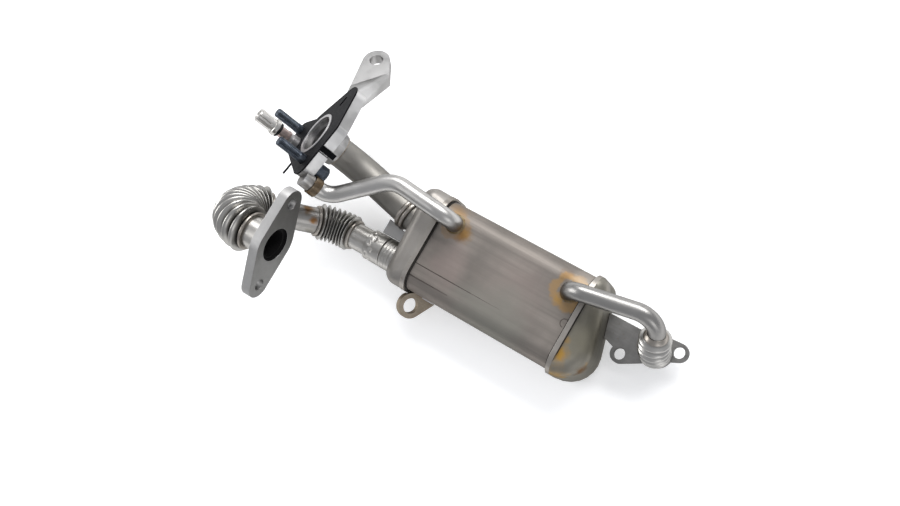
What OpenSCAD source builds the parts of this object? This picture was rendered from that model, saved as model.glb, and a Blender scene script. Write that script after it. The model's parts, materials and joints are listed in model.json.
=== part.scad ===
// Exhaust gas recirculation cooler: flat stainless body with a gas header, a turnaround cap,
// a gas inlet branch with two bellows, a gas outlet branch and two coolant pipes.
// All pieces are placed from the centre of the cooler shell, X along the body, Z out of the broad face.

/* [Cooler body] */
// Length of the shell between the two tube plates
shell_len = 127; // [105:1:180]
// Width of the shell across its broad face
shell_w = 76; // [70:1:84]
// Depth of the shell between its broad faces
shell_d = 44; // [40:1:52]
// Corner radius of the shell section
shell_r = 14; // [12:0.5:15]
// Sheet thickness of the shell
shell_wall = 1.5; // [1:0.1:2]
// Thickness of a tube plate
plate_t = 4; // [3:0.5:6]
// Height of the tube plate rim above the shell
rim_out = 2.5; // [1.5:0.1:3]

/* [Header and cap] */
// Depth of the gas header beside the outlet tube
header_top = 20.5; // [19:0.5:27]
// Depth of the gas header beside the inlet neck
header_low = 16.5; // [16:0.5:21]
// Edge radius of the gas header
header_edge = 10; // [8:0.5:12]
// Depth of the turnaround cap at mid width
cap_mid = 17.6; // [16:0.2:24]
// Slope of the closed end of the cap
cap_slope = 16.4; // [10:0.2:18]
// Corner radius at the shallow end of the cap
cap_top_r = 9.5; // [9.5:0.5:12]
// Corner radius at the deep end of the cap
cap_low_r = 23; // [18:0.5:26]
// Edge radius of the cap
cap_edge = 9.5; // [7:0.5:9.5]
// Sheet thickness of header and cap
dome_wall = 1.8; // [1.2:0.1:2.5]
// Width of header and cap beyond the shell on each side
dome_side = 2.2; // [1:0.1:2.4]
// Height of header and cap above the broad faces of the shell
dome_proud = 0.8; // [0.4:0.1:1.2]

/* [Gas core] */
// Space between the gas tubes and the narrow side of the shell
tube_side = 3.5; // [3.5:0.1:5]
// Space between the gas tubes and the wall between the passes
tube_gap = 1; // [0.8:0.1:2]
// Height of one flat gas tube
tube_h = 6; // [4:0.5:7]
// Wall of a gas tube
tube_wall = 0.5; // [0.4:0.1:0.8]
// Rows of gas tubes in each pass
tube_rows = 4; // [2:1:4]
// Pitch of the rows
tube_pitch = 9.6; // [9:0.1:10]
// Thickness of the wall between the passes
divider_t = 2; // [1.5:0.1:2.5]

/* [Gas inlet branch] */
// Distance of the inlet neck from the near side of the shell
neck_edge = 16.1; // [16:0.1:17]
// Place of the inlet neck through the depth of the header
neck_z = -5; // [-6:0.1:2]
// Outside diameter of the inlet neck and the link tube
neck_od = 21; // [19:0.5:21.5]
// Wall of the gas tubing
gas_wall = 1.5; // [1.2:0.1:2]
// Length of the inlet neck outside the header
neck_len = 48; // [44:1:60]
// Lean of the plane of the branch from the broad face normal
branch_lean = 24.5; // [15:0.5:35]
// Bend in the expansion bellows
joint_bend = 48; // [35:1:55]
// Length of the expansion bellows
joint_len = 30; // [28:1:40]
// Waves of the expansion bellows
joint_waves = 8; // [6:1:9]
// Crest diameter of the expansion bellows
joint_od = 28; // [26:0.5:30]
// Length of the link tube between the bellows
link_len = 43; // [36:1:60]
// Bend radius of the bellows elbow
elbow_r = 26.5; // [24:0.5:34]
// Waves of the bellows elbow
elbow_waves = 12; // [9:1:13]
// Crest diameter of the bellows elbow
elbow_od = 38; // [32:0.5:40]
// Outside diameter of the stub at the inlet flange
stub_od = 25; // [23:0.5:25]
// Distance from the end of the bellows elbow to the inlet flange face
stub_len = 25; // [22:1:40]
// Spacing of the inlet flange bolts
inlet_pcd = 66; // [64:1:76]
// Diameter of the inlet flange bolt holes
inlet_hole = 9; // [7:0.5:9.5]
// Thickness of the inlet flange
inlet_t = 8; // [6:0.5:10]
// Radius of the inlet flange round its port
inlet_mid_r = 21; // [20:0.5:24]
// Radius of the inlet flange ears
inlet_ear_r = 11; // [10:0.5:13]
// Roll of the inlet flange about its port
inlet_roll = 8.5; // [0:0.5:14]

/* [Gas outlet branch] */
// Distance of the outlet tube from the far side of the shell
outlet_edge = 26.2; // [26:0.1:27]
// Outside diameter of the outlet tube
outlet_od = 24; // [22:0.5:24]
// Bend radius of the outlet tube
outlet_bend = 45; // [35:1:55]
// Centre of the outlet flange face along the body
flange_x = -181; // [-197:0.5:-178]
// Centre of the outlet flange face across the body
flange_y = 31; // [28:0.5:36]
// Height of the outlet flange face centre above mid depth
flange_z = 39; // [34:0.5:46]
// Rise of the outlet flange normal towards the broad face normal
flange_rise = 46.5; // [40:0.5:52]
// Turn of the outlet flange normal across the body
flange_turn = 9.2; // [4:0.2:14]
// Roll of the outlet flange in its own plane
flange_roll = 12.6; // [6:0.2:18]
// Distance from the flange face back to the corner of the outlet tube
outlet_back = 48; // [46:1:60]
// Thickness of the outlet flange
flange_t = 9; // [8.5:0.5:12]
// Radius of the outlet flange round the port
flange_mid_r = 26; // [24:0.5:28]
// Diameter of the two flange screws
screw_d = 8; // [6:0.5:8]
// Length of a flange screw beyond the flange face
screw_out = 26; // [22:1:30]
// Width across flats of a screw head
screw_af = 11; // [10:0.5:13]
// Thickness of the gasket
gasket_t = 1.2; // [0.8:0.1:2]
// Mean diameter of the gasket's steel ring
ring_d = 34; // [33:0.5:36]
// Width of the gasket's steel ring
ring_w = 2.6; // [2:0.1:3]
// Thickness of the gasket's steel ring
ring_t = 1.8; // [1.4:0.1:2.2]
// Length of the coolant spigot beyond the flange face
spigot_len = 40; // [36:1:46]
// Diameter of the spigot tip
spigot_d = 11; // [10:0.5:12]
// Diameter of the hole in the bracket ear
ear_hole = 11; // [8:0.5:12]
// Width of one bead of the ringed collar on the outlet tube
collar_bead = 4; // [3:0.2:4]
// Height of the ringed collar over the outlet tube
collar_out = 2.4; // [2:0.1:2.4]

/* [Coolant side] */
// Outside diameter of the coolant pipes
pipe_od = 13; // [12:0.2:14]
// Wall of the coolant pipes
pipe_wall = 1.2; // [1:0.1:1.6]
// Height of the pipe runs above the broad face
pipe_rise = 15; // [14:0.5:20]
// Distance of the inlet port from the header end of the shell
port_in_inset = 13.5; // [13.5:0.5:19]
// Distance of the inlet port from the far side of the shell
port_in_edge = 16; // [16:0.5:20]
// Distance of the outlet port from the cap end of the shell
port_out_inset = 10; // [9:0.5:14]
// Distance of the outlet port from the far side of the shell
port_out_edge = 19.5; // [17:0.5:22]
// Length of the first run of the coolant inlet pipe
inlet_run = 55; // [52:0.5:60]
// Reach of the coolant outlet pipe beyond the rear tube plate
outlet_reach = 55.5; // [52:0.5:60]
// Sideways set of the coolant outlet pipe along its run
outlet_set = 12.5; // [10:0.5:16]
// Tilt of the coolant bellows where the pipe enters it
drop_tilt = 35; // [28:1:38]
// Length of the pipe below the last corner
drop_len = 19.5; // [19:0.5:26]
// Bend radius of the coolant bellows
drop_bend = 47; // [42:1:56]
// Crest diameter of the coolant bellows
drop_od = 24; // [22:0.5:26]
// Waves of the coolant bellows
drop_waves = 5; // [4:1:6]
// Thickness of the coolant flange
base_t = 5; // [4:0.5:7]
// Diameter of the coolant flange bolt holes
base_hole = 8.6; // [6.6:0.2:9]
// Distance from the coolant port to the bolt hole beside the cap
base_far = 26.5; // [24:0.5:28]
// Distance from the coolant port to the outer bolt hole
base_near = 16.5; // [16:0.5:20]
// Turn of the bolt hole line from the body's length
base_turn = 29.8; // [20:0.2:36]

/* [Mounting lug] */
// Diameter of the lug hole
lug_hole = 12; // [8:0.5:13]
// Thickness of the lug
lug_t = 5; // [4:0.5:6]
// Turn of the lug from the broad face
lug_turn = 50; // [35:1:60]
// Radius of the lug round its hole
lug_r = 10; // [9:0.5:11]
// Distance of the lug hole from the end of the shell
lug_inset = 5; // [4:0.5:10]
// Distance of the lug hole below the side of the shell
lug_drop = 10; // [9:0.5:12]
// Start of the lug's foot along the lug
foot_start = 3; // [2:0.5:4]
// Length of the lug's foot
foot_len = 14; // [12:0.5:16]

/* [Hidden] */
$fn = 48;

// Gap left for braze between pieces that fit into each other
braze_gap = 0.1;
// Gap left between a weld and the surface that it lies on
weld_gap = 0.02;
// Gap between pieces that only pass each other
pass_gap = 0.3;
// Overshoot of a cut past the face that it opens
cut = 1;
// A bend is this much fatter in radius than the straights, which run into it by bend_lap
bend_swell = 0.06;
bend_lap = 0.8;

// Half sizes and end faces of the body
half_len = shell_len / 2;
plate_x = half_len + plate_t;
half_w = shell_w / 2;
half_d = shell_d / 2;

// Places across the body, from its sides: neck, outlet tube, ports, wall between the passes and gas tubes
neck_y = neck_edge - half_w;
outlet_y = half_w - outlet_edge;
port_in_y = half_w - port_in_edge;
port_out_y = half_w - port_out_edge;
divider_y = (outlet_y - outlet_od / 2 + neck_y + neck_od / 2) / 2;
tube_reach_y = half_w - shell_wall - tube_side;
tube_w = tube_reach_y + divider_y - divider_t / 2 - tube_gap;
pass_in_y = tube_w / 2 - tube_reach_y;
pass_out_y = (divider_y + divider_t / 2 + tube_gap + tube_reach_y) / 2;

// Vector helpers
function unit(v) = v / norm(v);
function flat(v, n) = unit(v - (v * n) * n);
function side(d) = flat(abs(d.z) < 0.9 ? [0, 0, 1] : [1, 0, 0], d);
function deg(length, radius) = length / radius * 180 / PI;

// Puts the child's X, Y and Z axes on the given unit vectors at p
module framed(p, x, y, z) {
    multmatrix([
        [x.x, y.x, z.x, p.x],
        [x.y, y.y, z.y, p.y],
        [x.z, y.z, z.z, p.z],
        [0, 0, 0, 1]
    ]) children();
}

// Puts the child's Z axis along d at p
module along(p, d) {
    z = unit(d);
    x = side(z);
    framed(p, x, cross(z, x), z) children();
}

// Starts an arc at p with heading h, turning towards n: the child is centred on the bend axis
module on_arc(p, h, n, radius) {
    framed(p + radius * n, -n, h, cross(-n, h)) children();
}

// Straight stretch of round bar from a to b
module rod(a, b, r) {
    along(a, b - a) cylinder(r = r, h = norm(b - a));
}

// Round bar along a list of corner points, with one bend radius for each inner corner
module bent_rod(pts, bends, r) {
    last = len(pts) - 1;
    dirs = [for (i = [0:last - 1]) unit(pts[i + 1] - pts[i])];
    turns = [for (i = [0:last]) i == 0 || i == last ? 0 : acos(dirs[i - 1] * dirs[i])];
    trims = [for (i = [0:last]) turns[i] == 0 ? 0 : bends[i - 1] * tan(turns[i] / 2)];
    laps = [for (i = [0:last]) turns[i] == 0 ? 0 : trims[i] - bend_lap];
    for (i = [0:last - 1])
        rod(pts[i] + laps[i] * dirs[i], pts[i + 1] - laps[i + 1] * dirs[i], r);
    for (i = [1:1:last - 1])
        on_arc(pts[i] - trims[i] * dirs[i - 1], dirs[i - 1], flat(dirs[i], dirs[i - 1]), bends[i - 1])
            rotate_extrude(angle = turns[i]) translate([bends[i - 1], 0]) circle(r + bend_swell);
}

// Same route with its two ends carried on by more
function longer(pts, more) = let (last = len(pts) - 1) [
    for (i = [0:last])
        i == 0 ? pts[0] - more * unit(pts[1] - pts[0])
        : i == last ? pts[last] + more * unit(pts[last] - pts[last - 1])
        : pts[i]
];

// Bent tube open at both ends
module bent_tube(pts, bends, od, wall) {
    difference() {
        bent_rod(pts, bends, od / 2);
        bent_rod(longer(pts, cut), bends, od / 2 - wall);
    }
}

// Turned ring: inner radius, outer radius and height
module ring(r_in, r_out, h) {
    difference() {
        cylinder(r = r_out, h = h);
        translate([0, 0, -cut]) cylinder(r = r_in, h = h + 2 * cut);
    }
}

// Ring with a rounded outer bead
module beaded_ring(r_in, r_out, h) {
    bead = h / 2;
    rotate_extrude() difference() {
        union() {
            translate([r_in, 0]) square([r_out - bead - r_in, h]);
            translate([r_out - bead, bead]) circle(bead);
        }
        translate([r_in - 2 * h, -cut]) square([2 * h, h + 2 * cut]);
    }
}

// Rectangle with round corners
module round_rect(w, h, r) {
    square([w - 2 * r, h], center = true);
    square([w, h - 2 * r], center = true);
    for (x = [-1, 1], y = [-1, 1])
        translate([x * (w / 2 - r), y * (h / 2 - r)]) circle(r);
}

// Flat tube section with round ends
module slot2(w, h) {
    square([w - h, h], center = true);
    for (x = [-1, 1]) translate([x * (w - h) / 2, 0]) circle(h / 2);
}

// Prism along X of a section drawn in Y and Z
module along_x(x0, x1) {
    translate([x0, 0, 0]) rotate([90, 0, 90]) linear_extrude(x1 - x0) children();
}

// Corrugated thin tube bent round the Z axis: it starts on +X and turns towards +Y
module bellows(bend, turn, root, crest, wall, waves, sides) {
    steps = 4;
    last = waves * steps;
    wave = [for (i = [0:last]) root + (crest - root) * (1 - cos(360 * i / steps)) / 2];
    pts = [
        for (skin = [0, 1], i = [0:last], j = [0:sides - 1])
            let (r = wave[i] - skin * wall, a = turn * i / last, f = 360 * j / sides, q = bend + r * cos(f))
            [q * cos(a), q * sin(a), r * sin(f)]
    ];
    function at(skin, i, j) = (skin * (last + 1) + i) * sides + j % sides;
    walls = [
        for (i = [0:last - 1], j = [0:sides - 1], half = [0, 1])
            half == 0 ? [at(0, i, j), at(0, i + 1, j), at(0, i, j + 1)]
            : [at(0, i, j + 1), at(0, i + 1, j), at(0, i + 1, j + 1)],
        for (i = [0:last - 1], j = [0:sides - 1], half = [0, 1])
            half == 0 ? [at(1, i, j), at(1, i, j + 1), at(1, i + 1, j)]
            : [at(1, i, j + 1), at(1, i + 1, j + 1), at(1, i + 1, j)]
    ];
    ends = [
        for (j = [0:sides - 1], half = [0, 1])
            half == 0 ? [at(0, 0, j), at(0, 0, j + 1), at(1, 0, j)]
            : [at(0, 0, j + 1), at(1, 0, j + 1), at(1, 0, j)],
        for (j = [0:sides - 1], half = [0, 1])
            half == 0 ? [at(0, last, j), at(1, last, j), at(0, last, j + 1)]
            : [at(0, last, j + 1), at(1, last, j), at(1, last, j + 1)]
    ];
    polyhedron(points = pts, faces = concat(walls, ends), convexity = 8);
}

// Gas inlet branch: every point lies in the plane of X and lean_v through the neck axis
lean_v = [0, -sin(branch_lean), cos(branch_lean)];
function branch(x, h) = [x, neck_y, neck_z] + h * lean_v;
function heading(a) = [-cos(a), 0, 0] + sin(a) * lean_v;
function turning(a) = [sin(a), 0, 0] + cos(a) * lean_v;
header_face = -plate_x - header_low - (header_top - header_low) * (neck_y + half_w) / shell_w;
joint_r = joint_len / (joint_bend * PI / 180);
elbow_turn = 180 - joint_bend;
neck_tip = branch(header_face - neck_len, 0);
joint_tip = neck_tip + joint_r * (turning(0) - turning(joint_bend));
link_tip = joint_tip + link_len * heading(joint_bend);
elbow_tip = link_tip + elbow_r * (turning(joint_bend) - turning(180));
inlet_at = elbow_tip + stub_len * heading(180);
// Short direction of the inlet flange, rolled from the plane of the branch
inlet_u = cos(inlet_roll) * lean_v - sin(inlet_roll) * cross(heading(180), lean_v);
inlet_v = cross(heading(180), inlet_u);
neck_r = neck_od / 2;
// Fit of the neck and link tube ends in the bellows cuffs
cuff_in = 4;
bellows_wall = 0.6;
joint_root = neck_r + braze_gap + bellows_wall;
elbow_root = 13.6;

// Gas outlet branch: frame of the outlet flange and route of its tube
flange_at = [flange_x, flange_y, flange_z];
flange_n = [-cos(flange_rise) * cos(flange_turn), cos(flange_rise) * sin(flange_turn), sin(flange_rise)];
flange_e0 = flat([0, 1, 0], flange_n);
flange_g0 = cross(flange_n, flange_e0);
flange_e = cos(flange_roll) * flange_e0 - sin(flange_roll) * flange_g0;
flange_g = cross(flange_n, flange_e);
// Point on the outlet flange: along it, across it and out of its face
function on_flange(e, g, n) = flange_at + e * flange_e + g * flange_g + n * flange_n;
outlet_corner = on_flange(0, 0, -outlet_back);
outlet_root = [
    -plate_x - header_low - (header_top - header_low) * (outlet_y + half_w) / shell_w, outlet_y, 0
];
outlet_dir = unit(outlet_corner - outlet_root);
// Socket behind the outlet flange that takes the tube
boss_len = 12;
boss_wall = 1.5;
boss_foot = 4.5;
seat_depth = boss_len + 4;
// Places on the outlet flange: two screws, spigot, pipe socket and arm
screw_a = [-10.5, 39];
screw_b = [-19.8, -18.5];
spigot_e = [-19.2, 24.1];
socket_e = [-29.5, -30];
lobe_back = 3;
arm_e = [36, -3];
arm_r = 11;
// Round corners of the outlet flange: two on its near edge, one by the spigot and one by the far screw
near_low = [-20.5, -22];
near_mid = [13, -20];
corner_r = 11;
spigot_corner_r = 10;
screw_corner_r = 8;
// Bracket ear: hole centre, two lower corners and face normal in flange directions
ear_e = [72, 35.3, -8];
ear_low = [[44.8, 16.2, -2.4], [66.9, 16.5, -16.8]];
ear_n = unit([0.492, -0.478, 0.727]);
ear_r = 11;
ear_t = 9;
ear_corner_r = 3;
ear_axis = ear_n.x * flange_e + ear_n.y * flange_g + ear_n.z * flange_n;

// Coolant side: ports, pipe routes and the coolant flange
pipe_r = pipe_od / 2;
run_z = half_d + pipe_rise;
port_reach = 2;
port_in = [-half_len + port_in_inset, port_in_y, half_d - shell_wall - port_reach];
port_out = [half_len - port_out_inset, port_out_y, half_d - shell_wall - port_reach];
socket_len = 7;
socket_at = on_flange(socket_e.x, socket_e.y, -flange_t - lobe_back);
inlet_last = 17;
inlet_bends = [14, 24, 16];
inlet_route = [
    port_in,
    [port_in.x, port_in.y, run_z],
    [port_in.x - inlet_run, port_in.y + 5.5, run_z],
    socket_at - inlet_last * flange_n,
    socket_at - braze_gap * flange_n
];
drop_dir = [0, -sin(drop_tilt), -cos(drop_tilt)];
drop_corner = [plate_x + outlet_reach, port_out.y + outlet_set, run_z];
drop_top = drop_corner + drop_len * drop_dir;
drop_in = 6;
outlet_bends = [14, 16];
outlet_route = [port_out, [port_out.x, port_out.y, run_z], drop_corner, drop_top + drop_in * drop_dir];
drop_n = flat([0, 0, -1], drop_dir);
drop_foot = drop_top + drop_bend * (drop_n - [0, 1, 0]);
drop_root = pipe_r + 2;
base_dir = [cos(base_turn), sin(base_turn), 0];
base_port = [drop_foot.x, drop_foot.y, drop_foot.z - base_t];
base_hole_far = base_port - base_far * base_dir;
base_hole_near = base_port + base_near * base_dir;
base_mid = (base_hole_far + base_hole_near) / 2;
base_boss_r = 13;
base_boss_set = [-1, 2];
base_ear_r = 7;

// The part's origin is midway between the coolant flange bolt holes on its mounting face
module placed() {
    translate(-base_mid) children();
}

// Section of the shell, drawn in from its outside by inset
module shell_section(inset) {
    round_rect(shell_w - 2 * inset, shell_d - 2 * inset, shell_r - inset);
}

// Every gas tube's place in the section
module each_tube() {
    for (y = [pass_in_y, pass_out_y], i = [0:tube_rows - 1])
        translate([y, (i - (tube_rows - 1) / 2) * tube_pitch]) children();
}

module cooler_shell() {
    color("#8f8880") placed() difference() {
        along_x(-half_len, half_len) difference() {
            shell_section(0);
            shell_section(shell_wall);
        }
        for (p = [port_in, port_out])
            translate([p.x, p.y, 0]) cylinder(r = pipe_r + braze_gap, h = shell_d);
    }
}

module tube_plate(x) {
    along_x(x, x + plate_t) difference() {
        round_rect(shell_w + 2 * rim_out, shell_d + 2 * rim_out, shell_r + rim_out);
        each_tube() slot2(tube_w + 2 * braze_gap, tube_h + 2 * braze_gap);
    }
}

module front_tube_plate() {
    color("#8a8178") placed() tube_plate(-plate_x);
}

module rear_tube_plate() {
    color("#8a8178") placed() tube_plate(half_len);
}

module gas_tubes() {
    color("#a9a59d") placed() along_x(-plate_x, plate_x) each_tube() difference() {
        slot2(tube_w, tube_h);
        slot2(tube_w - 2 * tube_wall, tube_h - 2 * tube_wall);
    }
}

// Half width and half depth of the header and the cap
dome_y = half_w + dome_side;
dome_z = half_d + dome_proud;

// Four corner bars that close a dome on its tube plate
module dome_mouth(x, inset) {
    bar = 1;
    for (y = [-1, 1], z = [-1, 1])
        translate([x - bar / 2, y * (dome_y - shell_r), z * (dome_z - shell_r)])
            rotate([0, 90, 0]) cylinder(r = shell_r - inset, h = bar, $fn = 24);
}

// Header form, drawn in from its outside by inset
module header_form(inset) {
    hull($fn = 24) {
        dome_mouth(-plate_x, inset);
        for (z = [-1, 1]) {
            translate([header_edge - plate_x - header_top, dome_y - header_edge, z * (dome_z - header_edge)])
                sphere(header_edge - inset, $fn = 24);
            translate([header_edge - plate_x - header_low, header_edge - dome_y, z * (dome_z - header_edge)])
                sphere(header_edge - inset, $fn = 24);
        }
    }
}

module gas_header() {
    color("#8b857d") placed() difference() {
        intersection() {
            header_form(0);
            translate([-plate_x - shell_w, -shell_w, -shell_w]) cube([shell_w, 2 * shell_w, 2 * shell_w]);
        }
        header_form(dome_wall);
        rod(branch(header_face - header_edge, 0), branch(-plate_x, 0), neck_r + braze_gap);
        rod(outlet_root + header_edge * outlet_dir, outlet_root - header_edge * outlet_dir,
            outlet_od / 2 + braze_gap);
    }
}

module header_divider() {
    inner = header_low + (header_top - header_low) * (divider_y + half_w) / shell_w - dome_wall - pass_gap;
    wide = shell_d - 2 * dome_wall - 2 * pass_gap;
    color("#98928a") placed() translate([-plate_x, divider_y + divider_t / 2, 0]) rotate([90, 0, 0])
        linear_extrude(divider_t) intersection() {
            round_rect(2 * inner, wide, header_edge);
            translate([-inner, -wide / 2]) square([inner, wide]);
        }
}

// Cap form, drawn in from its outside by inset
module cap_form(inset) {
    function ball_x(r, y) = plate_x + cap_mid - (r + y * sin(cap_slope)) / cos(cap_slope);
    top_y = dome_y - cap_top_r;
    low_y = cap_low_r - dome_y;
    hull($fn = 24) {
        dome_mouth(plate_x, inset);
        for (z = [-1, 1]) {
            translate([ball_x(cap_top_r, top_y), top_y, z * (dome_z - cap_edge)])
                rotate_extrude($fn = 24) intersection() {
                    translate([cap_top_r - cap_edge, 0]) circle(cap_edge - inset, $fn = 24);
                    translate([0, -shell_d]) square(2 * shell_d);
                }
            translate([ball_x(cap_low_r, low_y), low_y, z * (dome_z - cap_edge)])
                rotate_extrude($fn = 24)
                    translate([cap_low_r - cap_edge, 0]) circle(cap_edge - inset, $fn = 24);
        }
    }
}

module turnaround_cap() {
    color("#857f78") placed() difference() {
        intersection() {
            cap_form(0);
            translate([plate_x, -shell_w, -shell_w]) cube(2 * shell_w);
        }
        cap_form(dome_wall);
    }
}

// Depth that the gas tubing reaches inside the header wall
tube_reach = 3;

module inlet_neck() {
    color("#a7a49e") placed() bent_tube([
        branch(header_face + dome_wall + tube_reach, 0),
        neck_tip + cuff_in * heading(0)
    ], [], neck_od, gas_wall);
}

module neck_adaptor() {
    adaptor_len = 13;
    adaptor_wall = 1.9;
    groove = 0.35;
    grooves = 4;
    start = header_face - 1.1;
    color("#b0ada8") placed() along(branch(start, 0), heading(0)) difference() {
        ring(neck_r + braze_gap, neck_r + adaptor_wall, adaptor_len);
        for (i = [1:grooves])
            translate([0, 0, adaptor_len * i / (grooves + 1)]) rotate_extrude()
                translate([neck_r + adaptor_wall, 0]) circle(groove, $fn = 24);
    }
}

module neck_sleeve() {
    sleeve_at = 15;
    sleeve_len = 15;
    sleeve_wall = 1.8;
    edge = 1;
    out = neck_r + sleeve_wall;
    color("#b6b3ae") placed() along(branch(header_face - sleeve_at, 0), heading(0)) rotate_extrude()
        polygon([
            [neck_r + braze_gap, 0], [out - edge, 0], [out, edge],
            [out, sleeve_len - edge], [out - edge, sleeve_len], [neck_r + braze_gap, sleeve_len]
        ]);
}

module expansion_bellows() {
    color("#a29e97") placed() on_arc(neck_tip, heading(0), turning(0), joint_r)
        bellows(joint_r, joint_bend, joint_root, joint_od / 2, bellows_wall, joint_waves, 22);
}

module link_tube() {
    color("#9b968e") placed() bent_tube([
        joint_tip + braze_gap * heading(joint_bend),
        link_tip - braze_gap * heading(joint_bend)
    ], [], neck_od, gas_wall);
}

module bellows_elbow() {
    color("#aaa7a1") placed() on_arc(link_tip, heading(joint_bend), turning(joint_bend), elbow_r)
        bellows(elbow_r, elbow_turn, elbow_root, elbow_od / 2, bellows_wall, elbow_waves, 22);
}

// Depth of the stub in the inlet flange and of the rebate in front of it
stub_seat = 5;

module inlet_stub() {
    color("#b3aea7") placed() bent_tube([
        elbow_tip + braze_gap * heading(180),
        inlet_at - (inlet_t - stub_seat) * heading(180)
    ], [], stub_od, gas_wall);
}

module inlet_flange() {
    port_r = stub_od / 2 + 0.8;
    color("#8e8b86") placed()
        framed(inlet_at - inlet_t * heading(180), inlet_u, inlet_v, heading(180)) difference() {
            linear_extrude(inlet_t) hull() {
                circle(inlet_mid_r, $fn = 48);
                for (s = [-1, 1]) translate([0, s * inlet_pcd / 2]) circle(inlet_ear_r, $fn = 48);
            }
            translate([0, 0, -cut]) cylinder(r = stub_od / 2 + braze_gap, h = inlet_t + 2 * cut);
            translate([0, 0, stub_seat]) cylinder(r = port_r, h = inlet_t);
            for (s = [-1, 1]) translate([0, s * inlet_pcd / 2, -cut])
                cylinder(r = inlet_hole / 2, h = inlet_t + 2 * cut);
        }
}

module bellows_collars() {
    band = 3;
    color("#9c978f") placed() {
        along(neck_tip - braze_gap * heading(0), -heading(0))
            beaded_ring(neck_r + braze_gap, joint_root + 1.2, band);
        along(joint_tip + braze_gap * heading(joint_bend), heading(joint_bend))
            beaded_ring(neck_r + braze_gap, joint_root + 1.2, band);
        along(link_tip - braze_gap * heading(joint_bend), -heading(joint_bend))
            beaded_ring(neck_r + braze_gap, elbow_root + 1.2, band);
        along(elbow_tip + braze_gap * heading(180), heading(180))
            beaded_ring(stub_od / 2 + braze_gap, elbow_root + 1.8, band);
    }
}

module tube_web() {
    web_t = 3;
    web_len = 26;
    web_gap = 0.4;
    low = neck_y + neck_r + 2 + pass_gap;
    top = outlet_y - outlet_od / 2 - collar_out + web_gap;
    color("#8a857d") placed() translate([0, 0, neck_z - web_t / 2]) linear_extrude(web_t)
        polygon([
            [header_face - 1.2, low], [header_face - web_len, low],
            [header_face - web_len, top + 5], [header_face - 2, top]
        ]);
}

module outlet_tube() {
    color("#9a958d") placed() bent_tube([
        outlet_root - (dome_wall + tube_reach) * outlet_dir,
        outlet_corner,
        on_flange(0, 0, -flange_t - boss_len + seat_depth - braze_gap)
    ], [outlet_bend], outlet_od, gas_wall);
}

module outlet_collar() {
    collar_at = 6;
    bead = collar_bead;
    r_in = outlet_od / 2 + braze_gap;
    r_out = outlet_od / 2 + collar_out;
    color("#a39e96") placed() along(outlet_root + collar_at * outlet_dir, outlet_dir) rotate_extrude()
        difference() {
            union() {
                translate([r_in, 0]) square([r_out - bead / 2 - r_in, 2 * bead]);
                for (i = [0, 1]) translate([r_out - bead / 2, bead * (i + 0.5)]) circle(bead / 2);
            }
            translate([r_in - 4 * bead, -cut]) square([4 * bead, 2 * bead + 2 * cut]);
        }
}

// Outline of the outlet flange in its own plane, grown by more
module flange_outline(more) {
    hull() {
        circle(flange_mid_r + more, $fn = 64);
        translate(arm_e) circle(arm_r + more, $fn = 32);
        translate(near_low) circle(corner_r + more, $fn = 32);
        translate(near_mid) circle(corner_r + more, $fn = 32);
    }
    hull() {
        translate(near_low) circle(corner_r + more, $fn = 32);
        translate(spigot_e) circle(spigot_corner_r + more, $fn = 32);
        circle(spigot_corner_r + more, $fn = 32);
    }
    hull() {
        translate(screw_a) circle(screw_corner_r + more, $fn = 32);
        translate(spigot_e) circle(spigot_corner_r + more, $fn = 32);
        translate([4, 8]) circle(spigot_corner_r + more, $fn = 32);
    }
}

// Notch in the near edge of the outlet flange that the gasket's clip hooks through
clip_e = -3;
clip_w = 4.5;
notch_w = clip_w + 2;
near_edge = -near_mid.y + corner_r;
notch_depth = 4;

// Directions of the outlet flange for its flat pieces
module on_plate(n) {
    framed(on_flange(0, 0, n), flange_e, flange_g, flange_n) children();
}

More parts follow.
